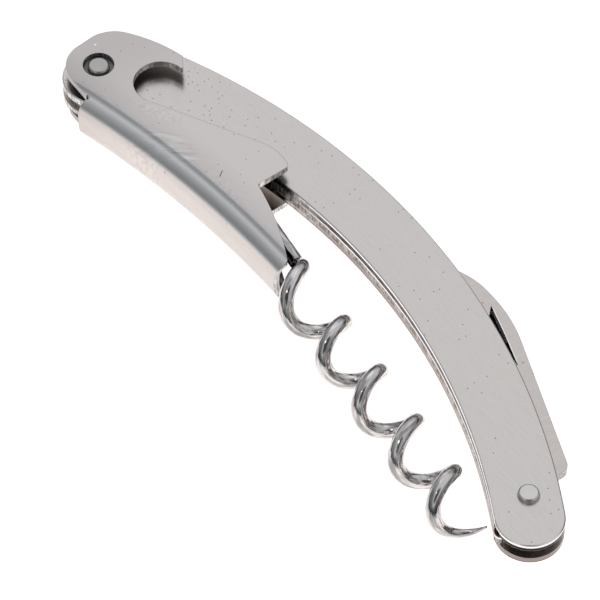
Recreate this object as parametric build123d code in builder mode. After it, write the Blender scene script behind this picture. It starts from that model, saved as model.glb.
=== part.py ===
from build123d import *
import os
from math import cos, radians, sin, sqrt

# Waiter's corkscrew, folded: two curved plates with a back spring between them, a lever of
# folded sheet on the hollow side, a worm under it and a foil knife on the other side.
# The part rests on the lever's lower cheek at z = 0. Positions below are measured from the
# lever pin, +X towards the knife end; hub_x and hub_y set that pin in the part's own frame.

# --- where the pins stand ---------------------------------------------------------------
hub_x = -53.4
hub_y = -5.501
pin_spacing = 107.5          # lever pin to the centre of the rounded knife end
worm_pin_x = 29.1
worm_pin_y = 5.7
knife_pin_inset = 3.03       # centre of the rounded knife end back to the knife pin
knife_pin_y = 2.27
spring_pin_x = 17.5
spring_pin_y = 0.5

# --- plates -----------------------------------------------------------------------------
plate = 1.2
hub_radius = 5.9
end_radius = 5.2
lobe_radius = 5.5
convex_radius = 117.2
convex_rise = 9.9            # lever pin to the convex edge
concave_radius = 105.8
concave_drop = 1.75          # lever pin to the line of the hollow edge, carried on
belly_radius = 100.0         # shallow hollow from the lobe to the hub
shoulder_angle = 139.0       # where the flat flank leaves the hub circle
shoulder_fillet = 3.0
lobe_fillet = 1.8
plate_break = 0.15

# --- back spring ------------------------------------------------------------------------
layer = 1.9
hub_recess = 0.7
strip_width = 3.7
strip_root_x = 56.0          # where the solid hub part ends and the strip begins
wall_lean = 9.0
tang_gap = 0.3
spring_end = 2.1             # knife pin to the end face of the strip
spring_nose = 1.1
spring_nose_proud = 0.3
spring_nose_inset = 0.3
eye_gap = 0.3

# --- pins and bushes --------------------------------------------------------------------
pin_fit = 0.02
running_fit = 0.04
lever_pin_diameter = 3.4
lever_pin_recess = 0.05
lever_pin_break = 0.25
worm_pin_diameter = 2.6
worm_pin_head = 0.4
worm_pin_head_diameter = 4.2
worm_pin_break = 0.15
spring_pin_diameter = 2.2
spring_pin_break = 0.1
knife_pin_diameter = 2.5
knife_head_diameter = 3.44
knife_head_top = 3.0
knife_head = 0.8
knife_head_break = 0.18
bush_flange_diameter = 8.0
bush_side_gap = 0.05
bush_spigot_diameter = 4.9
bush_spigot_recess = 0.85

# --- lever ------------------------------------------------------------------------------
sheet = 1.1
fold_width = 9.6
fold_radius = 3.5
back_radius = 180.0          # outside of the folded back, seen on edge
back_centre_x = 45.3
back_drop = 2.5              # lever pin down to the outside of the back, at back_centre_x
cheek_reach = 36.0           # height of the folded blank before it is cut to outline
blank_start = 4.0            # where the blank begins and how far it turns, in degrees
blank_turn = 24.0
pivot_hole = 5.0
ear_radius = 5.2
horn_radius = 5.95
horn_x = 0.5
horn_y = 2.6
horn_turn = 125.0
claw_x = 6.7
claw_y = 11.7
claw_round = 0.6
claw_tip_x = 8.75
claw_tip_y = 10.3
claw_tip_round = 0.25
claw_hook_x = 8.65
claw_hook_y = 9.8
notch_radius = 4.33          # crown cap opening
notch_x = 9.0
notch_y = 5.65
brow_slope = 26.8
brow_radius = 12.0
step_x = 35.2                # toothed step
step_top = 11.4
step_foot = 5.15
step_nose = 0.8
step_round = 0.5
fold_start = 4.3
foot_x = 50.0
foot_mid_x = 43.4
foot_mid_y = 2.75
foot_y = -0.3
foot_round = 0.7
foot_dip = 0.7               # the back's end is hollowed by this much at its middle
relief = 0.35

# --- worm -------------------------------------------------------------------------------
wire = 2.4
flat_count = 10              # the drawn wire is finished with this many flats
shank_angle = -8.5
worm_angle = -7.65           # axis of the coil
axis_offset = 3.2            # worm pin to that axis
coil_radius = 3.3
coil_pitch = 10.65
coil_turns = 4.93
coil_reach = 22.35           # worm pin to the start of the coil, along its axis
coil_early = 2.2             # the first turn starts early by this much, so it is drawn longer
bend_reach = 19.35           # worm pin to where the shank starts to bend
bend_count = 8
point_turns = 0.6
point_belly = 0.75           # share of the wire left half way along the point
point_tip = 0.3
eye_radius = 3.0
eye_break = 0.2
root_start = 1.0
root_thickness = 1.8
root_width = 2.8
root_length = 6.1
root_taper = 2.2
root_round = 0.8

# --- knife ------------------------------------------------------------------------------
blade = 1.6
tang_radius = 4.3
heel_x = 103.65
heel_y = 8.6
heel_round = 1.5
spine_slope = -22.8
spine_radius = 26.5
crown_x = 71.1
crown_y = 22.2
nose_x = 65.2
nose_y = 21.2
tip_x = 60.8
tip_gap = 4.4                # these gaps are measured up from the spring's strip
sweep_x = 65.1
sweep_gap = 2.75
belly_x = 70.0
belly_gap = 2.3
choil_x = 93.0
choil_gap = 0.7
ricasso_x = 96.6
ricasso_gap = 0.75
ricasso_step_x = 1.2
ricasso_step_y = 1.6
tang_neck = 3.0
grind_width = 2.6
grind_depth = 0.55
nick_depth = 0.7
nick_round = 0.25
nick_start_x = 73.5
nick_start_y = 20.65
nick_belly_x = 75.0
nick_belly_y = 19.0
nick_end_x = 84.4
nick_end_y = 16.8

# --- heights of the layers, from the lever's lower cheek up ------------------------------
mid = fold_width / 2
layer_z = mid - layer / 2
rear_plate_z = layer_z - plate
front_plate_z = layer_z + layer
top_z = front_plate_z + plate
outside = 60.0               # well clear of the part, for the edges of cuts


def at(x, y, z=0.0):
    """A point measured from the lever pin."""
    return Vector(hub_x + x, hub_y + y, z)


def way(degrees):
    """The direction at an angle to +X."""
    return Vector(cos(radians(degrees)), sin(radians(degrees)))


def circles_meet(c1, r1, c2, r2, side):
    """Where two circles cross, on the left (1) or right (-1) of the line c1 to c2."""
    run = c2 - c1
    along = (r1**2 - r2**2 + run.length**2) / (2 * run.length)
    across = sqrt(r1**2 - along**2)
    u = run.normalized()
    return c1 + u * along + Vector(-u.Y, u.X) * (across * side)


def from_to(a, b, distance):
    """The point at a distance from a, on the way to b."""
    return a + (b - a).normalized() * distance


def on_arc(centre, radius, a, b):
    """The middle of the shorter arc from a to b."""
    return centre + ((a + b) * 0.5 - centre).normalized() * radius


def soften(place, radius):
    """Round the corner of the sketch that lies nearest a place."""
    near = vertices().sort_by(lambda v: (Vector(v.X, v.Y) - place).length)[0]
    fillet(near, radius=radius)


def drill(place, radius):
    """A round hole in the sketch."""
    with Locations((place.X, place.Y)):
        Circle(radius, mode=Mode.SUBTRACT)


lever_pin_at = at(0, 0)
worm_pin_at = at(worm_pin_x, worm_pin_y)
knife_pin_x = pin_spacing - knife_pin_inset
knife_pin_at = at(knife_pin_x, knife_pin_y)
spring_pin_at = at(spring_pin_x, spring_pin_y)
end_at = at(pin_spacing, 0)

# The two long edges are arcs tangent to circles round the hub and the knife end.
convex_at = circles_meet(lever_pin_at, convex_radius - convex_rise, end_at, convex_radius - end_radius, -1)
concave_at = circles_meet(lever_pin_at, concave_radius + concave_drop, end_at, concave_radius + end_radius, -1)
strip_radius = concave_radius + strip_width


def strip_top(x, gap=0.0):
    """The point above x on the spring's strip, or a gap above it."""
    across = hub_x + x - concave_at.X
    return Vector(hub_x + x, concave_at.Y + sqrt(strip_radius**2 - across**2) + gap)


def handle_corners(hub_r):
    """The shoulder and the lobe's upper corner, before they are rounded."""
    flank = lever_pin_at + way(shoulder_angle) * hub_r
    along = way(shoulder_angle - 90)
    reach = (convex_at - flank).dot(along)
    off = (convex_at - flank).dot(way(shoulder_angle))
    shoulder = flank + along * (reach + sqrt(convex_radius**2 - off**2))
    side = 1 if circles_meet(concave_at, concave_radius, worm_pin_at, lobe_radius, 1).Y > worm_pin_at.Y else -1
    return shoulder, circles_meet(concave_at, concave_radius, worm_pin_at, lobe_radius, side)


def handle_outline(hub_r):
    """The handle's outline round a hub of the given radius, as one closed line of arcs."""
    shoulder, lobe_top = handle_corners(hub_r)
    belly_at = circles_meet(lever_pin_at, belly_radius + hub_r, worm_pin_at, belly_radius + lobe_radius, -1)
    flank = lever_pin_at + way(shoulder_angle) * hub_r
    hub_far = lever_pin_at + way(shoulder_angle + 61) * hub_r
    hub_low = from_to(lever_pin_at, belly_at, hub_r)
    lobe_low = from_to(worm_pin_at, belly_at, lobe_radius)
    end_top = from_to(convex_at, end_at, convex_radius)
    end_low = from_to(concave_at, end_at, concave_radius)
    with BuildLine() as line:
        Line(flank, shoulder)
        ThreePointArc(shoulder, on_arc(convex_at, convex_radius, shoulder, end_top), end_top)
        ThreePointArc(end_top, end_at + Vector(end_radius, 0), end_low)
        ThreePointArc(end_low, on_arc(concave_at, concave_radius, end_low, lobe_top), lobe_top)
        ThreePointArc(lobe_top, on_arc(worm_pin_at, lobe_radius, lobe_top, lobe_low), lobe_low)
        ThreePointArc(lobe_low, on_arc(belly_at, belly_radius, lobe_low, hub_low), hub_low)
        ThreePointArc(hub_low, hub_far, flank)
    return line.line


def handle_layer(hub_r):
    """Fill the outline in the sketch and round its two corners."""
    shoulder, lobe_top = handle_corners(hub_r)
    add(handle_outline(hub_r))
    make_face()
    soften(shoulder, shoulder_fillet)
    soften(lobe_top, lobe_fillet)


def pin_holes():
    """The four riveted holes that go through both plates."""
    drill(lever_pin_at, lever_pin_diameter / 2 + pin_fit)
    drill(worm_pin_at, worm_pin_diameter / 2 + pin_fit)
    drill(spring_pin_at, spring_pin_diameter / 2 + pin_fit)
    drill(knife_pin_at, knife_pin_diameter / 2 + pin_fit)


os.makedirs("parts", exist_ok=True)

# Plates: blanked from sheet, with the outer edges lightly broken.
with BuildPart() as front_plate:
    with BuildSketch(Plane.XY.offset(front_plate_z)):
        handle_layer(hub_radius)
        pin_holes()
    extrude(amount=plate)
    chamfer(faces().sort_by(Axis.Z)[-1].outer_wire().edges(), length=plate_break)
front_plate.part.label = "front_plate"
export_step(front_plate.part, "parts/front_plate.step")

with BuildPart() as rear_plate:
    with BuildSketch(Plane.XY.offset(rear_plate_z)):
        handle_layer(hub_radius)
        pin_holes()
    extrude(amount=plate)
    chamfer(faces().sort_by(Axis.Z)[0].outer_wire().edges(), length=plate_break)
rear_plate.part.label = "rear_plate"
export_step(rear_plate.part, "parts/rear_plate.step")

# Back spring: fills the gap from the hub to the lobe, then runs as a strip along the hollow
# edge. A pocket frees the worm's eye, and its nose stands proud under the knife's tang.
nose_x_at = knife_pin_x + spring_end - spring_nose_inset
nose_fall = sqrt(end_radius**2 - (nose_x_at - pin_spacing) ** 2)
shank_way = way(shank_angle)
shank_left = way(shank_angle + 90)
pocket_half = root_width / 2 + eye_gap
pocket_reach = lobe_radius * 2
with BuildPart() as back_spring:
    with BuildSketch(Plane.XY.offset(layer_z)):
        handle_layer(hub_radius - hub_recess)
        strip_stop = strip_top(knife_pin_x + tang_radius / 2)
        strip_mid = on_arc(concave_at, strip_radius, strip_top(strip_root_x), strip_stop)
        with BuildLine():
            ThreePointArc(strip_top(strip_root_x), strip_mid, strip_stop)
            Line(strip_stop, at(pin_spacing + outside, -outside))
            Line(at(pin_spacing + outside, -outside), at(pin_spacing + outside, outside))
            Line(at(pin_spacing + outside, outside), at(strip_root_x - wall_lean, outside))
            Line(at(strip_root_x - wall_lean, outside), strip_top(strip_root_x))
        make_face(mode=Mode.SUBTRACT)
        drill(knife_pin_at, tang_radius + tang_gap)
        with Locations((knife_pin_at.X + spring_end, knife_pin_at.Y)):
            Rectangle(outside, outside, align=(Align.MIN, Align.CENTER), mode=Mode.SUBTRACT)
        with Locations(at(nose_x_at, spring_nose - spring_nose_proud - nose_fall)):
            Circle(spring_nose)
        drill(lever_pin_at, lever_pin_diameter / 2 + pin_fit)
        drill(spring_pin_at, spring_pin_diameter / 2 + pin_fit)
        drill(worm_pin_at, eye_radius + eye_gap)
        with BuildLine():
            Polyline(
                worm_pin_at + shank_left * pocket_half,
                worm_pin_at + shank_left * pocket_half + shank_way * pocket_reach,
                worm_pin_at + shank_way * pocket_reach - shank_left * pocket_reach,
                worm_pin_at - shank_way * pocket_half - shank_left * pocket_reach,
                worm_pin_at - shank_way * pocket_half,
                close=True,
            )
        make_face(mode=Mode.SUBTRACT)
    extrude(amount=layer)
back_spring.part.label = "back_spring"
export_step(back_spring.part, "parts/back_spring.step")

# Spring pin: holds the spring's solid end between the plates, ground flush with them.
with BuildPart() as spring_pin:
    with BuildSketch(Plane.XY.offset(rear_plate_z)):
        with Locations(spring_pin_at):
            Circle(spring_pin_diameter / 2)
    extrude(amount=2 * plate + layer)
    chamfer(edges().group_by(Axis.Z)[0] + edges().group_by(Axis.Z)[-1], length=spring_pin_break)
spring_pin.part.label = "spring_pin"
export_step(spring_pin.part, "parts/spring_pin.step")

# Lever pin: goes through the plates and both bushes, a hair under the lever's cheeks.
with BuildPart() as lever_pin:
    with BuildSketch(Plane.XY.offset(lever_pin_recess)):
        with Locations(lever_pin_at):
            Circle(lever_pin_diameter / 2)
    extrude(amount=fold_width - 2 * lever_pin_recess)
    chamfer(edges().group_by(Axis.Z)[0] + edges().group_by(Axis.Z)[-1], length=lever_pin_break)
lever_pin.part.label = "lever_pin"
export_step(lever_pin.part, "parts/lever_pin.step")

# Bushes: collars on the lever pin, a flange against the plate and a spigot that the cheek
# turns on. The rear one is the front one turned over.
bush_flange = rear_plate_z - sheet - bush_side_gap
bush_spigot = bush_side_gap + sheet - bush_spigot_recess


def bush(seat, up):
    """The collar that starts at the height of its seat and goes up (1) or down (-1)."""
    for start, length, diameter in (
        (seat, bush_flange, bush_flange_diameter),
        (seat + up * bush_flange, bush_spigot, bush_spigot_diameter),
    ):
        with BuildSketch(Plane.XY.offset(start)) as ring:
            with Locations(lever_pin_at):
                Circle(diameter / 2)
                Circle(lever_pin_diameter / 2 + pin_fit, mode=Mode.SUBTRACT)
        extrude(ring.sketch, amount=up * length)


with BuildPart() as front_pivot_bush:
    bush(top_z, 1)
front_pivot_bush.part.label = "front_pivot_bush"
export_step(front_pivot_bush.part, "parts/front_pivot_bush.step")

with BuildPart() as rear_pivot_bush:
    bush(rear_plate_z, -1)
rear_pivot_bush.part.label = "rear_pivot_bush"
export_step(rear_pivot_bush.part, "parts/rear_pivot_bush.step")

# Worm pin: a rivet with thin flat heads that stay clear of the lever's cheeks.
with BuildPart() as worm_pin:
    with BuildSketch(Plane.XY.offset(rear_plate_z)):
        with Locations(worm_pin_at):
            Circle(worm_pin_diameter / 2)
    extrude(amount=2 * plate + layer)
    for head_z, head in ((top_z, worm_pin_head), (rear_plate_z, -worm_pin_head)):
        with BuildSketch(Plane.XY.offset(head_z)):
            with Locations(worm_pin_at):
                Circle(worm_pin_head_diameter / 2)
        extrude(amount=head)
    chamfer(edges().group_by(Axis.Z)[0] + edges().group_by(Axis.Z)[-1], length=worm_pin_break)
worm_pin.part.label = "worm_pin"
export_step(worm_pin.part, "parts/worm_pin.step")

# Knife pin: a rivet with a low raised head on each plate, tapered and softly broken.
with BuildPart() as knife_pin:
    with BuildSketch(Plane.XY.offset(rear_plate_z)):
        with Locations(knife_pin_at):
            Circle(knife_pin_diameter / 2)
    extrude(amount=2 * plate + layer)
    for head_z, up in ((top_z, 1), (rear_plate_z, -1)):
        for height, diameter in ((0, knife_head_diameter), (knife_head, knife_head_top)):
            with BuildSketch(Plane.XY.offset(head_z + height * up)):
                with Locations(knife_pin_at):
                    Circle(diameter / 2)
        loft()
    chamfer(edges().group_by(Axis.Z)[0] + edges().group_by(Axis.Z)[-1], length=knife_head_break)
knife_pin.part.label = "knife_pin"
export_step(knife_pin.part, "parts/knife_pin.step")

# Lever: a U of sheet steel turned about the centre of its curved back, then cut to outline.
back_centre = at(back_centre_x, -back_drop - back_radius)
blank_top = back_radius + cheek_reach
start = radians(blank_start)
fold_plane = Plane(origin=back_centre, x_dir=(sin(start), cos(start), 0), z_dir=(cos(start), -sin(start), 0))
horn_at = at(horn_x, horn_y)
horn_left = horn_at - Vector(horn_radius, 0)
horn_end = horn_at + way(horn_turn) * horn_radius
ear_left = lever_pin_at - Vector(ear_radius, 0)
ear_low = lever_pin_at - Vector(0, ear_radius)
notch_at = at(notch_x, notch_y)
notch_end = notch_at + way(brow_slope - 90) * notch_radius
notch_start = from_to(notch_at, at(claw_hook_x, claw_hook_y), notch_radius)
brow_top = at(step_x - step_nose, step_top)
brow_out = brow_top - Vector(brow_radius * sin(radians(brow_slope)), brow_radius * (1 - cos(radians(brow_slope))))
brow_out = notch_end + way(brow_slope) * (brow_out - notch_end).dot(way(brow_slope))
dip_half = fold_width / 2 - sheet
dip_radius = (dip_half**2 + foot_dip**2) / (2 * foot_dip)
with BuildPart() as lever:
    with BuildSketch(fold_plane):
        with BuildLine():
            FilletPolyline(
                (blank_top, 0),
                (back_radius, 0),
                (back_radius, fold_width),
                (blank_top, fold_width),
                radius=fold_radius,
            )
            Line((blank_top, fold_width), (blank_top, fold_width - sheet))
            FilletPolyline(
                (blank_top, fold_width - sheet),
                (back_radius + sheet, fold_width - sheet),
                (back_radius + sheet, sheet),
                (blank_top, sheet),
                radius=fold_radius - sheet,
            )
            Line((blank_top, sheet), (blank_top, 0))
        make_face()
    revolve(axis=Axis(back_centre, (0, 0, 1)), revolution_arc=blank_turn)
    with BuildSketch():
        with BuildLine():
            ThreePointArc(ear_low, on_arc(lever_pin_at, ear_radius, ear_left, ear_low), ear_left)
            Line(ear_left, horn_left)
            ThreePointArc(horn_left, on_arc(horn_at, horn_radius, horn_left, horn_end), horn_end)
            TangentArc(horn_end, at(claw_x, claw_y), tangent=way(horn_turn - 90))
            Line(at(claw_x, claw_y), at(claw_tip_x, claw_tip_y))
            Line(at(claw_tip_x, claw_tip_y), notch_start)
            ThreePointArc(notch_start, notch_at - Vector(notch_radius, 0), notch_end)
            Line(notch_end, brow_out)
            TangentArc(brow_out, brow_top, tangent=way(brow_slope))
            TangentArc(brow_top, at(step_x, step_top - step_nose), tangent=(1, 0))
            Line(at(step_x, step_top - step_nose), at(step_x, step_foot))
            ThreePointArc(at(step_x, step_foot), at(foot_mid_x, foot_mid_y), at(foot_x, foot_y))
            Line(at(foot_x, foot_y), at(foot_x, -outside))
            Line(at(foot_x, -outside), at(fold_start, -outside))
            Line(at(fold_start, -outside), at(fold_start, -ear_radius))
            Line(at(fold_start, -ear_radius), ear_low)
        make_face()
        soften(at(step_x, step_foot), step_round)
        soften(at(foot_x, foot_y), foot_round)
        soften(at(claw_x, claw_y), claw_round)
        soften(at(claw_tip_x, claw_tip_y), claw_tip_round)
        drill(at(fold_start, -ear_radius), relief)
    extrude(amount=fold_width, mode=Mode.INTERSECT)
    with BuildSketch():
        with Locations(lever_pin_at):
            Circle(pivot_hole / 2)
    extrude(amount=fold_width, mode=Mode.SUBTRACT)
    with BuildSketch(Plane.XZ.offset(-hub_y - foot_y)):
        with Locations((hub_x + foot_x - foot_dip + dip_radius, mid)):
            Circle(dip_radius)
    extrude(amount=outside, mode=Mode.SUBTRACT)
lever.part.label = "lever"
export_step(lever.part, "parts/lever.step")

# Worm: one wire. The eye and root are pressed flat for the gap between the plates, the shank
# runs straight out of it and bends up onto the coil, whose first turn is drawn a little longer
# than the rest. The last part of the coil is ground to a long point.
worm_plane = Plane(origin=worm_pin_at + Vector(0, 0, mid), x_dir=shank_way, z_dir=(0, 0, 1))
root_plane = Plane(origin=worm_plane.origin, x_dir=shank_left, z_dir=shank_way)
coil_way = way(worm_angle)
coil_plane = Plane(
    origin=worm_plane.origin - way(worm_angle + 90) * axis_offset,
    x_dir=coil_way,
    z_dir=(0, 0, 1),
)


def coil_point(turns):
    """A point on the wire's centre line, so many turns from the start of the coil."""
    along = coil_reach + coil_pitch * turns - coil_early * (1 - turns) ** 2
    return coil_plane.from_local_coords(
        (along, coil_radius * cos(radians(360 * turns)), coil_radius * sin(radians(360 * turns)))
    )


helix = Edge.make_helix(
    coil_pitch,
    coil_pitch * coil_turns,
    coil_radius,
    center=coil_plane.from_local_coords((coil_reach, 0, 0)),
    normal=coil_way,
)
coil_line = helix.trim(1 / coil_turns, 1 - point_turns / coil_turns)
point_line = helix.trim(1 - point_turns / coil_turns, 1.0)
shank_end = worm_pin_at + Vector(0, 0, mid) + shank_way * bend_reach
first_turn = Edge.make_spline(
    [shank_end] + [coil_point(step / bend_count) for step in range(1, bend_count)] + [coil_line @ 0],
    tangents=[shank_way, coil_line % 0],
)
point_plane = Plane(origin=point_line @ 0, z_dir=point_line % 0)
with BuildPart() as worm:
    with BuildSketch(worm_plane.offset(-root_thickness / 2)):
        Circle(eye_radius)
    extrude(amount=root_thickness)
    chamfer(edges().group_by(Axis.Z)[0] + edges().group_by(Axis.Z)[-1], length=eye_break)
    with BuildSketch(root_plane.offset(root_start)):
        RectangleRounded(root_width, root_thickness, root_round)
    extrude(amount=root_length - root_start)
    with BuildSketch(root_plane.offset(root_length)):
        RectangleRounded(root_width, root_thickness, root_round)
    with BuildSketch(root_plane.offset(root_length + root_taper)):
        Circle(wire / 2)
    loft()
    with BuildSketch(root_plane.offset(root_length + root_taper)):
        RegularPolygon(wire / 2, flat_count, major_radius=False)
    extrude(amount=bend_reach - root_length - root_taper)
    with BuildSketch(root_plane.offset(bend_reach)):
        RegularPolygon(wire / 2, flat_count, major_radius=False)
    sweep(path=Wire([first_turn, coil_line]))
    with BuildSketch(point_plane):
        RegularPolygon(wire / 2, flat_count, major_radius=False)
    with BuildSketch(Plane(origin=point_line @ 0.5, x_dir=point_plane.x_dir, z_dir=point_line % 0.5)):
        RegularPolygon(wire / 2 * point_belly, flat_count, major_radius=False)
    with BuildSketch(Plane(origin=point_line @ 1, x_dir=point_plane.x_dir, z_dir=point_line % 1)):
        RegularPolygon(point_tip / 2, flat_count, major_radius=False)
    sweep(path=point_line, multisection=True)
    with BuildSketch(worm_plane.offset(-root_thickness)):
        Circle(worm_pin_diameter / 2 + running_fit)
    extrude(amount=2 * root_thickness, mode=Mode.SUBTRACT)
worm.part.label = "worm"
export_step(worm.part, "parts/worm.step")

# Knife: a leaf of steel with a humped spine, a round tang on the pin, a long nail nick in
# the front face and a cutting edge ground from both faces.
spine_way = way(spine_slope)
crown = at(crown_x, crown_y)
spine_start = crown + Vector(-spine_way.Y * spine_radius, (spine_way.X - 1) * spine_radius)
heel_top = spine_start + spine_way * ((hub_x + heel_x - spine_start.X) / spine_way.X)
tip = strip_top(tip_x, tip_gap)
sweep_at = strip_top(sweep_x, sweep_gap)
belly = strip_top(belly_x, belly_gap)
choil = strip_top(choil_x, choil_gap)
ricasso = strip_top(ricasso_x, ricasso_gap)
edge_way = (tip - choil).normalized()
grind_plane = Plane(origin=choil + Vector(0, 0, mid), x_dir=(edge_way.Y, -edge_way.X, 0), z_dir=edge_way)
with BuildPart() as knife_blade:
    with BuildSketch(Plane.XY.offset(mid - blade / 2)):
        with BuildLine():
            Line(heel_top, spine_start)
            TangentArc(spine_start, crown, tangent=-spine_way)
            ThreePointArc(crown, at(nose_x, nose_y), tip)
            ThreePointArc(tip, sweep_at, belly)
            Line(belly, choil)
            Line(choil, ricasso + Vector(-ricasso_step_x, ricasso_step_y))
            Line(ricasso + Vector(-ricasso_step_x, ricasso_step_y), ricasso)
            Line(ricasso, knife_pin_at - Vector(tang_neck, 0))
            Line(knife_pin_at - Vector(tang_neck, 0), at(heel_x, knife_pin_y))
            Line(at(heel_x, knife_pin_y), heel_top)
        make_face()
        soften(heel_top, heel_round)
        with Locations(knife_pin_at):
            Circle(tang_radius)
            Circle(knife_pin_diameter / 2 + running_fit, mode=Mode.SUBTRACT)
    extrude(amount=blade)
    with BuildSketch(grind_plane):
        with BuildLine():
            Polyline(
                (grind_width, blade / 2),
                (grind_width, blade),
                (-grind_width, blade),
                (-grind_width, blade / 2 - 2 * grind_depth),
                close=True,
            )
        make_face()
        mirror(about=Plane.XZ)
    extrude(amount=(tip - choil).length + grind_width, mode=Mode.SUBTRACT)
    with BuildSketch(Plane.XY.offset(mid + blade / 2)):
        with BuildLine():
            Polyline(
                at(nick_start_x, nick_start_y),
                at(nick_belly_x, nick_belly_y),
                at(nick_end_x, nick_end_y),
                close=True,
            )
        make_face()
        fillet(vertices(), radius=nick_round)
    extrude(amount=-nick_depth, mode=Mode.SUBTRACT)
knife_blade.part.label = "knife_blade"
export_step(knife_blade.part, "parts/knife_blade.step")
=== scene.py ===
import math
import bmesh
import bpy
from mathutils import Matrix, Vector


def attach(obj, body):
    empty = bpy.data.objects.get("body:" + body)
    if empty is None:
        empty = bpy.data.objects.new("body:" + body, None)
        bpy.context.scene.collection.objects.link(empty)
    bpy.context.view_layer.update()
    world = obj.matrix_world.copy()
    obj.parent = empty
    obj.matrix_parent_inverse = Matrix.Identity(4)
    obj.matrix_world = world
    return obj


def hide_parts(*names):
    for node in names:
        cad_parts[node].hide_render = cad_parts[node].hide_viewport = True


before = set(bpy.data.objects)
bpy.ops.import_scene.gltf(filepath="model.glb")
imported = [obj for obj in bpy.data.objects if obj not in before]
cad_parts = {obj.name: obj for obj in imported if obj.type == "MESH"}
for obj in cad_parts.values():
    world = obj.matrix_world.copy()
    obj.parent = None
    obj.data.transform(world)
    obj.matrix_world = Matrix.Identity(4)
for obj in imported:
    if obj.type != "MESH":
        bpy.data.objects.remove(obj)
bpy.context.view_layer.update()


# Handle plates. Two long curved plates blanked from 1.2 mm stainless sheet and tumbled until
# the faces are an even satin grey. Fine rolling lines run along them and small pits are left;
# the sheared edges are hatched, with painted highlights along them and painted shade on the outer rim.
class Flow:
    """One output socket of a material's nodes, with arithmetic on it."""

    def __init__(self, tree, out=None):
        self.tree, self.out = tree, out

    def node(self, kind, settings=None, sockets=None, out=0):
        made = self.tree.nodes.new(kind)
        for name, value in (settings or {}).items():
            setattr(made, name, value)
        for name, value in (sockets or {}).items():
            if isinstance(value, Flow):
                self.tree.links.new(value.out, made.inputs[name])
            else:
                made.inputs[name].default_value = value
        return Flow(self.tree, made.outputs[out])

    def maths(self, operation, a, b=0.0):
        return self.node("ShaderNodeMath", {"operation": operation}, {0: a, 1: b})

    def __add__(self, b): return self.maths("ADD", self, b)
    def __radd__(self, b): return self.maths("ADD", b, self)
    def __sub__(self, b): return self.maths("SUBTRACT", self, b)
    def __rsub__(self, b): return self.maths("SUBTRACT", b, self)
    def __mul__(self, b): return self.maths("MULTIPLY", self, b)
    def __rmul__(self, b): return self.maths("MULTIPLY", b, self)
    def __abs__(self): return self.maths("ABSOLUTE", self)

    def fade(self, low, high):
        """0 below low, 1 above high, smooth between."""
        return self.node("ShaderNodeMapRange", {"interpolation_type": "SMOOTHSTEP"},
                         {"Value": self, "From Min": low, "From Max": high})

    def blend(self, a, b):
        """Colour a where this is 0, colour b where it is 1."""
        return self.node("ShaderNodeMix", {"data_type": "RGBA"}, {"Factor": self, 6: a, 7: b}, out=2)

    def tint(self, colour):
        """The colour made lighter or darker by this, which is 1 where it stays."""
        grey = self.node("ShaderNodeCombineColor", {}, {0: self, 1: self, 2: self})
        return self.node("ShaderNodeMix", {"data_type": "RGBA", "blend_type": "MULTIPLY"},
                         {"Factor": 1.0, 6: colour, 7: grey}, out=2)

    def axis(self, index):
        return self.node("ShaderNodeSeparateXYZ", {}, {0: self}, out=index)

    def length(self):
        return self.node("ShaderNodeVectorMath", {"operation": "LENGTH"}, {0: self}, out=1)

    def facing(self, direction):
        """1 where this points that way, 0 across it."""
        return self.node("ShaderNodeVectorMath", {"operation": "DOT_PRODUCT"}, {0: self, 1: direction}, out=1)

    def speckle(self, scale, detail=2.0, rough=0.5):
        return self.node("ShaderNodeTexNoise", {}, {"Vector": self, "Scale": scale, "Detail": detail,
                                                    "Roughness": rough})

    def stretched(self, turn, factors):
        """The place turned about Z by so many degrees, then scaled on each axis."""
        return self.node("ShaderNodeMapping", {"vector_type": "TEXTURE"}, {
            "Vector": self, "Rotation": (0, 0, math.radians(turn)), "Scale": [1 / f for f in factors]})

    def laid_on(self, centre, turn, half_length, half_width):
        """The place as seen from a patch of the face: -1 to 1 along it and across it. In mm."""
        return self.node("ShaderNodeMapping", {"vector_type": "TEXTURE"}, {
            "Vector": self, "Location": (centre[0] / 1000, centre[1] / 1000, 0),
            "Rotation": (0, 0, math.radians(turn)), "Scale": (half_length / 1000, half_width / 1000, 1)})

    def patch(self, centre, turn, half_length, half_width):
        """1 in the middle of an oval patch of the face, 0 outside it."""
        local = self.laid_on(centre, turn, half_length, half_width)
        return 1.0 - local.length().fade(0.35, 1.0)

    def dots(self, scale, radius, share):
        """Round dots on XY: so many cells a metre, a radius in cells, in this share of them."""
        flat, cells = {"voronoi_dimensions": "2D"}, {"Vector": self, "Scale": scale}
        spread = self.node("ShaderNodeTexVoronoi", flat, cells)
        chance = self.node("ShaderNodeTexVoronoi", flat, cells, out=1).axis(0)
        return (1.0 - spread.fade(radius * 0.6, radius * 1.4)) * chance.fade(1 - share, 1.03 - share)


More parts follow.
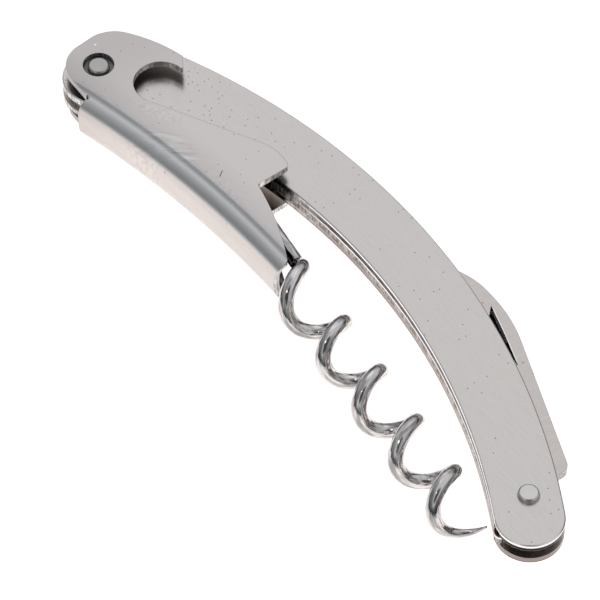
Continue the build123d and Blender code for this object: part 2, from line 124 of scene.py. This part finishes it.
class Steel:
    """A stainless finish: its place, its softened edges and what is plugged into its shader."""

    def __init__(self, name, edge=0.00012):
        self.material = bpy.data.materials.new(name)
        self.material.use_nodes = True
        self.shader = self.material.node_tree.nodes["Principled BSDF"]
        self.shader.inputs["Metallic"].default_value = 1.0
        flow = self.flow = Flow(self.material.node_tree)
        self.place = flow.node("ShaderNodeTexCoord", out=3)
        self.normal = flow.node("ShaderNodeTexCoord", out=1)
        self.soft = flow.node("ShaderNodeBevel", {"samples": 6}, {"Radius": edge})
        to_object = {"vector_type": "NORMAL", "convert_from": "WORLD", "convert_to": "OBJECT"}
        turned = flow.node("ShaderNodeVectorTransform", to_object, {0: self.soft})
        self.lean, self.rise = turned.axis(1), abs(turned.axis(2))
        self.flat = abs(self.normal.axis(2)).fade(0.8, 0.95)

    def edge_shade_and_highlight(self, colour, dark, bright):
        """The broken edges, painted: painted shade where they face +Y, a painted highlight where they face
        -Y, and a thin painted dark line just inside that highlight.
        """
        edge = (1.0 - self.rise.fade(0.9, 0.985)) * self.rise.fade(0.25, 0.5)
        far = edge * self.lean.fade(0.1, 0.4) * dark
        near = edge * (0.0 - self.lean).fade(0.0, 0.35) * bright
        painted_edge_line = (1.0 - self.rise.fade(0.985, 0.9995)) * self.rise.fade(0.90, 0.985) \
            * (0.0 - self.lean).fade(0.0, 0.1)
        # Painted highlight in white on the near edges, painted shade in near-black on the far ones.
        colour = near.blend((painted_edge_line * bright * 0.8).blend(colour, (0.12, 0.11, 0.11, 1)), (1, 1, 1, 1))
        return far.blend(colour, (0.05, 0.05, 0.05, 1))

    def fill_shader(self, colour, rough, height, depth):
        # Plugs in the colour, with any painted highlight and shade in it, the roughness and the bumps.
        links = self.material.node_tree.links
        links.new(colour.out, self.shader.inputs["Base Color"])
        links.new(rough.out, self.shader.inputs["Roughness"])
        bump = self.flow.node("ShaderNodeBump", {}, {
            "Height": height, "Distance": depth, "Normal": self.soft})
        links.new(bump.out, self.shader.inputs["Normal"])
        return self.material


def dress(node, material):
    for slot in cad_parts[node].material_slots:
        slot.material = material


def plate_satin():
    steel = Steel("plate_satin")
    place = steel.place
    lines = place.stretched(-4, (420, 3800, 3800)).speckle(1.0, 2.0, 0.6)
    fine = place.speckle(3600.0, 2.0, 0.7)
    cloud = place.speckle(140.0, 2.0)
    crowd = place.patch((-38, 2), 0, 22, 10)
    pit = place.dots(520.0, 0.052, 0.22) * 0.8 + place.dots(950.0, 0.08, 0.2) * (crowd * 1.2 + 0.1)
    tone = (lines - 0.5) * 0.13 + (fine - 0.5) * 0.12 + (cloud - 0.5) * 0.05 + 1.0
    face = pit.blend(tone.tint((0.615, 0.580, 0.560, 1)), (0.10, 0.085, 0.08, 1))
    hatch = place.stretched(0, (2600, 2600, 500)).speckle(1.0, 3.0, 0.7)
    wall = hatch.fade(0.34, 0.6).blend((0.28, 0.265, 0.26, 1), (0.74, 0.72, 0.71, 1))
    span, height = place.axis(0), place.axis(2)
    strip = span.fade(-0.018, -0.006)
    # Painted shade: the walls round the lobe are painted nearly black.
    lobe_shade = span.fade(-0.032, -0.028) * (1.0 - span.fade(-0.022, -0.010))
    wall = (lobe_shade * 0.7).blend(wall, (0.06, 0.055, 0.05, 1))
    # Painted highlight and painted shade on part of the front plate's wall: white along its top and nearly
    # black below. The rear plate's wall there keeps a flat torn colour.
    bright = height.fade(0.00630, 0.00645)
    upper = bright.blend((0.02, 0.01, 0.01, 1), (1, 1, 1, 1))
    torn_and_painted_wall = (height - 0.005).fade(0.0, 0.0001).blend((0.33, 0.27, 0.25, 1), upper)
    wall = strip.blend(wall, torn_and_painted_wall)
    # Painted shade: the walls are painted dark brown below 3 mm height, along the foot of the rear plate.
    wall = (1.0 - height.fade(0.0029, 0.0031)).blend(wall, (0.16, 0.09, 0.08, 1))
    colour = steel.edge_shade_and_highlight(steel.flat.blend(wall, face), 0.9, 0.8)
    return steel.fill_shader(colour, (cloud - 0.5) * 0.08 + 0.27, lines * 0.6 + fine * 0.4 - pit, 0.000010)


plate_steel = plate_satin()
dress("front_plate", plate_steel)
dress("rear_plate", plate_steel)


# Back spring. A single layer of spring steel between the plates, flush with them along the
# hollow side. Only its sheared edge shows, torn, pitted and darker than the plates.
def spring_sheared():
    steel = Steel("spring_sheared")
    coarse = steel.place.stretched(0, (2200, 2200, 900)).speckle(1.0, 4.0, 0.75)
    patch = steel.place.speckle(500.0)
    mask = (coarse + (patch - 0.5) * 0.4).fade(0.38, 0.62)
    colour = mask.blend((0.16, 0.14, 0.135, 1), (0.62, 0.59, 0.57, 1))
    strip, height = steel.place.axis(0).fade(-0.018, -0.006), steel.place.axis(2)
    # Painted shade along the top of the edge under the front plate, and a painted highlight line in white
    # just below it, on part of the length.
    gap_shade = height.fade(0.00535, 0.00545) * strip
    painted_edge_line = height.fade(0.00495, 0.00505) * (1.0 - height.fade(0.00535, 0.00545)) * strip
    colour = painted_edge_line.blend(gap_shade.blend(colour, (0.07, 0.035, 0.03, 1)), (1, 1, 1, 1))
    return steel.fill_shader(colour, coarse * 0.3 + 0.3, coarse, 0.00004)


dress("back_spring", spring_sheared())


# Lever. One blank of 1.1 mm stainless folded to a U round the worm, its back drawn in a slow
# curve. The cheeks carry the crown cap claw and the stepped foot. The tool has left chatter
# marks beside the fold, pebbled patches and one scratch; the sheared edges are hatched.
def lever_satin():
    steel = Steel("lever_satin")
    place, flat = steel.place, steel.flat
    back_centre = (-8.1, -188.001)
    from_back = place.node("ShaderNodeVectorMath", {"operation": "MULTIPLY_ADD"}, {
        0: place, 1: (1, 1, 0), 2: (-back_centre[0] / 1000, -back_centre[1] / 1000, 0)}).length()
    folded = 1.0 - from_back.fade(0.18365, 0.18375)
    end_wall = abs(steel.normal.axis(0)).fade(0.55, 0.7)
    wall = (1.0 - flat) * (1.0 - folded * (1.0 - end_wall))
    # Painted shade: the cheeks' inner faces and the inside of the fold are painted dark.
    inner_shade = (steel.normal.axis(2) * (0.0048 - place.axis(2)) * 1000.0).fade(0.5, 1.0)
    hollow = steel.normal.axis(1).fade(0.2, 0.5) * folded * (1.0 - end_wall) * 0.75
    inner_shade = hollow + inner_shade * (place.axis(2).fade(0.004, 0.005) * 0.45 + 0.45)
    fine = place.speckle(3000.0, 2.0, 0.7)
    cloud = place.speckle(120.0, 2.0)
    waves = place.stretched(42, (300, 2700, 900)).speckle(1.0, 1.5, 0.5)
    chatter = (waves - 0.5) * place.patch((-33.5, -7.3), 24, 8.5, 3.6)
    along = place.stretched(-3, (120, 1500, 900)).speckle(1.0, 2.0, 0.6)
    pebbles = place.speckle(1250.0, 2.0, 0.6)
    rough_patch = place.patch((-39.7, -4.0), 27, 6.5, 1.7) + place.patch((-19.5, -5.6), -8, 8.0, 3.2) * 0.6
    pit = place.dots(560.0, 0.055, 0.16) * 0.8
    # Painted shade: the face is painted darker towards the ear.
    ear_shade = 1.0 - place.axis(0).fade(-0.056, -0.036)
    to_foot = place.axis(0).fade(-0.052, -0.018) * 0.75 + 0.25
    bend = from_back.fade(0.1801, 0.1808)
    glint = place.dots(210.0, 0.035, 0.06)
    scratch = place.laid_on((-23.4, -3.55), -55, 0.75, 0.075)
    cut = (1.0 - abs(scratch.axis(0)).fade(0.8, 1.0)) * (1.0 - abs(scratch.axis(1)).fade(0.5, 1.0)) * flat
    # Painted reflection on the fold: a soft dark band over its curve and onto the face beside it, stronger
    # towards the foot, and a painted highlight on its back.
    shade_beside_fold = (1.0 - from_back.fade(0.1826, 0.1885)) * 0.13
    shade_on_fold = (1.0 - from_back.fade(0.1806, 0.1834)) * to_foot * 0.30
    tone = (fine - 0.5) * 0.08 + (cloud - 0.5) * 0.06 + (pebbles - 0.5) * rough_patch * 0.5 \
        + chatter * 0.95 + (along - 0.5) * folded * 0.16 - ear_shade * 0.13 + 1.0 \
        - (shade_beside_fold + shade_on_fold) * bend + (1.0 - from_back.fade(0.1801, 0.1812)) * 0.13
    # Painted reflection: the curve of the fold is tinted bluish.
    warm, blue_reflection = tone.tint((0.63, 0.593, 0.575, 1)), tone.tint((0.60, 0.605, 0.615, 1))
    face = (folded * bend * 0.75).blend(warm, blue_reflection)
    face = pit.blend(face, (0.22, 0.20, 0.19, 1))
    face = (glint * flat).blend(face, (1, 1, 1, 1))
    # The scratch, and the painted shade inside the lever.
    face = (cut + inner_shade).blend(face, (0.12, 0.11, 0.105, 1))
    hatch = place.stretched(0, (2400, 2400, 500)).speckle(1.0, 3.0, 0.7)
    sheared = hatch.fade(0.32, 0.64).blend((0.30, 0.29, 0.285, 1), (0.78, 0.78, 0.78, 1))
    colour = steel.edge_shade_and_highlight(wall.blend(face, sheared), 0.95, 0.6)
    height = fine * 0.25 + chatter * 3.0 + pebbles * rough_patch * 0.9 \
        + (along - 0.5) * folded * 0.5 - pit - cut * 2.0
    return steel.fill_shader(colour, (cloud - 0.5) * 0.08 + folded * 0.06 + 0.30, height, 0.000012)


dress("lever", lever_satin())


# Pivot of the lever. A turned pin through the hub, and on each side a dull collar that spaces the
# cheek from the plate and reaches into the cheek's hole; it is coloured dark as painted shade.
def turned(name, colour, rough, grain=0.14):
    steel = Steel(name, 0.00018)
    fine = steel.place.speckle(2600.0, 2.0)
    blot = steel.place.speckle(700.0, 2.0)
    tone = (fine - 0.5) * grain + (blot - 0.5) * grain + 1.0
    return steel.fill_shader(tone.tint((*colour, 1)), (fine - 0.5) * 0.12 + rough, fine, 0.000006)


pin_steel = turned("pin_turned", (0.46, 0.44, 0.43), 0.34)
dress("lever_pin", pin_steel)
dress("spring_pin", pin_steel)
dress("worm_pin", pin_steel)
# The collars are coloured dark as painted shade.
bush_steel = turned("bush_painted_shade", (0.16, 0.155, 0.15), 0.38)
dress("front_pivot_bush", bush_steel)
dress("rear_pivot_bush", bush_steel)

# Worm. Round 2.4 mm wire with a flattened eye, wound to an open right-handed screw, ground to
# a long point and polished bright. All in one piece; the eye turns on the rivet in the lobe.
wire = 1.2
coil_start, coil_pitch, coil_radius, coil_offset = 22.35, 10.65, 3.3, 3.2
drawn_out = 2.2
wire_sides, eye_sides = 22, 56
worm_pin = Vector((-24.3, 0.199, 4.8))


def way(degrees):
    return Vector((math.cos(math.radians(degrees)), math.sin(math.radians(degrees)), 0))


shank_way = way(-8.5)
coil_way, coil_left = way(-7.65), way(82.35)


def on_coil(turns):
    """The wire's centre so many turns along; the first turn is drawn out longer."""
    run = coil_start + coil_pitch * turns - (drawn_out * (1 - turns) ** 2 if turns < 1 else 0)
    angle = math.radians(360 * turns)
    return worm_pin - coil_left * coil_offset + coil_way * run + coil_left * (coil_radius * math.cos(angle)) \
        + Vector((0, 0, coil_radius * math.sin(angle)))


def smooth_run(knots, start_way, end_way, steps):
    """Points along a smooth curve through the knots."""
    slopes = [start_way] + [(b - a) / 2 for a, b in zip(knots, knots[2:])] + [end_way]
    points = []
    for a, b, u, v in zip(knots, knots[1:], slopes, slopes[1:]):
        for i in range(steps):
            t = i / steps
            points.append(a * (2 * t**3 - 3 * t**2 + 1) + u * (t**3 - 2 * t**2 + t)
                          + b * (3 * t**2 - 2 * t**3) + v * (t**3 - t**2))
    return points


# Each station of the wire: its centre, half width, half thickness, and how square it is.
stations = [(worm_pin + shank_way * run, 1.4, 0.9, 5.0) for run in (1.0, 2.5, 4.3, 6.1)]
for i in range(1, 6):
    part = i / 5
    centre = worm_pin + shank_way * (6.1 + 2.2 * part)
    stations.append((centre, 1.4 - 0.2 * part, 0.9 + 0.3 * part, 5.0 - 3.0 * part))
stations += [(worm_pin + shank_way * run, wire, wire, 2.0) for run in (10.0, 12.5, 15.0, 17.4)]
bend_knots = [worm_pin + shank_way * 19.35] + [on_coil(i / 8) for i in range(1, 9)]
chord = (bend_knots[1] - bend_knots[0]).length
stations += [(p, wire, wire, 2.0) for p in smooth_run(
    bend_knots, shank_way * chord, (on_coil(1.125) - on_coil(0.875)) / 2, 4)]
turns = 1.0
while turns < 4.931:
    ground = max(0.0, (turns - 4.33) / 0.6)
    thick = wire - 0.15 * ground - 0.9 * ground**2
    stations.append((on_coil(turns), thick, thick, 2.0))
    turns += 0.03 if turns > 4.3 else 0.0333

screw = bmesh.new()
run_map = screw.loops.layers.uv.new("wire_run")
rings, side = [], Vector((0, 0, 1)).cross(shank_way)
for i, (centre, wide, thin, square) in enumerate(stations):
    before, after = stations[max(i - 1, 0)][0], stations[min(i + 1, len(stations) - 1)][0]
    along = (after - before).normalized()
    side = (side - along * side.dot(along)).normalized()
    up = along.cross(side)
    ring = []
    for k in range(wire_sides):
        c, s = math.cos(math.tau * k / wire_sides), math.sin(math.tau * k / wire_sides)
        x, y = (math.copysign(abs(q) ** (2 / square), q) for q in (c, s))
        ring.append(screw.verts.new((centre + side * (wide * x) + up * (thin * y)) / 1000))
    rings.append(ring)
far = 0.0
for a, b, (here, *_), (there, *_) in zip(rings, rings[1:], stations, stations[1:]):
    step = (there - here).length
    for k in range(wire_sides):
        beside = (k + 1) % wire_sides
        skin = screw.faces.new((a[k], a[beside], b[beside], b[k]))
        skin.smooth = True
        for loop, around, along in zip(skin.loops, (k, k + 1, k + 1, k), (0, 0, step, step)):
            loop[run_map].uv = around / wire_sides, (far + along) / 10
    far += step
screw.faces.new(rings[0][::-1])
screw.faces.new(rings[-1])
eye_profile = [(1.34, -0.9), (2.8, -0.9), (3.0, -0.7), (3.0, 0.7), (2.8, 0.9), (1.34, 0.9)]
eye = []
for k in range(eye_sides):
    c, s = math.cos(math.tau * k / eye_sides), math.sin(math.tau * k / eye_sides)
    eye.append([screw.verts.new((worm_pin + Vector((r * c, r * s, h))) / 1000) for r, h in eye_profile])
for a, b in zip(eye, eye[1:] + eye[:1]):
    for j in range(6):
        screw.faces.new((a[j], b[j], b[(j + 1) % 6], a[(j + 1) % 6]))
bmesh.ops.recalc_face_normals(screw, faces=screw.faces)
screw_mesh = bpy.data.meshes.new("worm_wire")
screw.to_mesh(screw_mesh)
screw.free()
worm_wire = bpy.data.objects.new("worm_wire", screw_mesh)
bpy.context.collection.objects.link(worm_wire)


def polished():
    steel = Steel("worm_polished", 0.0001)
    run = steel.flow.node("ShaderNodeUVMap", {"uv_map": "wire_run"})
    drawn = run.stretched(0, (9.0, 2.2, 1.0)).speckle(1.0, 2.0, 0.65)
    blot = steel.place.speckle(420.0, 2.0, 0.6)
    tone = (drawn.fade(0.36, 0.62) - 0.5) * 0.75 + (blot - 0.5) * 0.4 + 1.0
    height = drawn * 0.8 + blot * 0.4
    return steel.fill_shader(tone.tint((0.56, 0.545, 0.54, 1)), (blot - 0.5) * 0.1 + 0.10, height, 0.00014)


screw_mesh.materials.append(polished())
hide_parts("worm")
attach(worm_wire, "worm")


# Knife. A short leaf of stainless ground across its width, with a long nail nick coloured black
# inside, folded between the plates. Its pin has a low raised head on each plate.
def blade_ground():
    steel = Steel("blade_ground", 0.0001)
    place = steel.place
    marks = place.stretched(-20, (3000, 260, 260)).speckle(1.0, 2.0, 0.6)
    fine = place.speckle(3600.0, 2.0, 0.7)
    pit = place.dots(800.0, 0.10, 0.10)
    tone = (marks - 0.5) * 0.22 + (fine - 0.5) * 0.14 + 1.0
    face = pit.blend(tone.tint((0.620, 0.568, 0.545, 1)), (0.30, 0.20, 0.16, 1))
    # The nail nick is coloured black inside.
    nick = place.laid_on((25.5, 13.3), -19.6, 5.85, 1.0)
    reach, across = nick.axis(0), nick.axis(1)
    upper = 0.14 - abs(reach) * 0.10
    lower = reach * 0.659 - 0.78
    inside = (across - upper).fade(0.02, -0.04) * (across - lower).fade(-0.02, 0.04) \
        * (across * 0.32 + reach).fade(-1.03, -1.0) * reach.fade(1.02, 1.0)
    # Painted highlight: a thin white line along the nick's upper edge.
    nick_highlight = (across - upper).fade(-0.02, 0.02) * (across - upper).fade(0.16, 0.10) \
        * (1.0 - abs(reach).fade(0.8, 1.0))
    face = inside.blend((nick_highlight * steel.flat).blend(face, (0.95, 0.95, 0.95, 1)), (0.004, 0.004, 0.004, 1))
    wall = fine.fade(0.3, 0.6).blend((0.12, 0.11, 0.11, 1), (0.6, 0.58, 0.57, 1))
    colour = steel.edge_shade_and_highlight(steel.flat.blend(wall, face), 1.0, 0.6)
    return steel.fill_shader(colour, (fine - 0.5) * 0.1 + 0.34 + inside * 0.5, marks, 0.000010)


dress("knife_blade", blade_ground())
dress("knife_pin", turned("rivet_satin", (0.62, 0.60, 0.59), 0.26))


# Table and backdrop. A pale sheet that reads as white, and a pale tent. The steel mirrors the
# tent dimmer than it is seen, and dark on two sides, where the tent is open.
def white_table():
    material = bpy.data.materials.new("white_table")
    material.use_nodes = True
    tree = material.node_tree
    tree.nodes.clear()
    flow = Flow(tree)
    seen = flow.node("ShaderNodeLightPath", out=0)
    mirrored = flow.node("ShaderNodeLightPath", out=3)
    place = flow.node("ShaderNodeTexCoord", out=3)
    away = place.length().fade(0.065, 0.15)
    paper = flow.node("ShaderNodeBsdfDiffuse", {}, {"Color": (0.7, 0.7, 0.7, 1)})
    level = flow.maths("MAXIMUM", seen, mirrored * (1.0 - away * 0.68))
    glow = flow.node("ShaderNodeEmission", {}, {
        "Color": away.blend((1, 0.955, 0.935, 1), (0.9, 0.94, 1, 1)), "Strength": level})
    white = flow.node("ShaderNodeEmission", {}, {"Color": (1, 1, 1, 1), "Strength": 0.95})
    shown = flow.node("ShaderNodeMixShader", {}, {0: seen, 1: glow, 2: white})
    both = flow.node("ShaderNodeAddShader", {}, {0: paper, 1: shown})
    output = tree.nodes.new("ShaderNodeOutputMaterial")
    tree.links.new(both.out, output.inputs[0])
    return material


table_half, table_top = 2, -0.0001
corners = [(x * table_half, y * table_half, table_top) for x, y in ((-1, -1), (1, -1), (1, 1), (-1, 1))]
table_mesh = bpy.data.meshes.new("table")
table_mesh.from_pydata(corners, [], [(0, 1, 2, 3)])
table = bpy.data.objects.new("table", table_mesh)
bpy.context.collection.objects.link(table)
table_mesh.materials.append(white_table())


def towards(azimuth, elevation):
    a, e = math.radians(azimuth), math.radians(elevation)
    return Vector((math.sin(a) * math.cos(e), -math.cos(a) * math.cos(e), math.sin(e)))


world = bpy.data.worlds.new("studio")
bpy.context.scene.world = world
world.use_nodes = True
world.node_tree.nodes.clear()
sky = Flow(world.node_tree)
seen = sky.node("ShaderNodeLightPath", out=0)
mirrored = sky.node("ShaderNodeLightPath", out=3)
looking = sky.node("ShaderNodeTexCoord", out=0)
open_side = looking.facing(towards(56, 50)).fade(0.86, 0.96)
low_side = looking.facing(towards(332, 12)).fade(0.66, 0.96)
tent = looking.axis(2).fade(-0.02, 0.50) * (1.0 - open_side * 0.94) * (1.0 - low_side * 0.56)
soft = sky.node("ShaderNodeBackground", {}, {
    "Color": (0.95, 0.97, 1, 1), "Strength": mirrored * (tent * 0.61 - 0.08) + 0.15})
white = sky.node("ShaderNodeBackground", {}, {"Color": (1, 1, 1, 1), "Strength": 1.0})
world_mix = sky.node("ShaderNodeMixShader", {}, {0: seen, 1: soft, 2: white})
world_out = world.node_tree.nodes.new("ShaderNodeOutputWorld")
world.node_tree.links.new(world_mix.out, world_out.inputs[0])


# Lamps. One large soft lamp over the far side, and a small one that puts a spark on the wire.
def softbox(name, azimuth, elevation, distance, size, power):
    lamp = bpy.data.lights.new(name, "AREA")
    lamp.shape, lamp.size, lamp.energy = "DISK", size, power
    body = bpy.data.objects.new(name, lamp)
    bpy.context.collection.objects.link(body)
    body.location = distance * towards(azimuth, elevation)
    body.rotation_euler = (-body.location).to_track_quat("-Z", "Y").to_euler()


softbox("key", 236, 56, 0.9, 0.75, 0.42)
softbox("spark", 20, 62, 0.9, 0.10, 0.14)

# Camera. A long lens from above the lever's side of the tool.
aim = Vector((0.002174, -0.007724, 0.00695))
lens = bpy.data.cameras.new("camera")
lens.lens, lens.sensor_width, lens.clip_start, lens.clip_end = 216.0, 36.0, 0.01, 20.0
camera = bpy.data.objects.new("camera", lens)
bpy.context.collection.objects.link(camera)
camera.location = aim + 0.5466 * towards(52.53, 52.0)
camera.rotation_euler = (aim - camera.location).to_track_quat("-Z", "Y").to_euler()
bpy.context.scene.camera = camera
bpy.context.scene.view_settings.view_transform = "Standard"
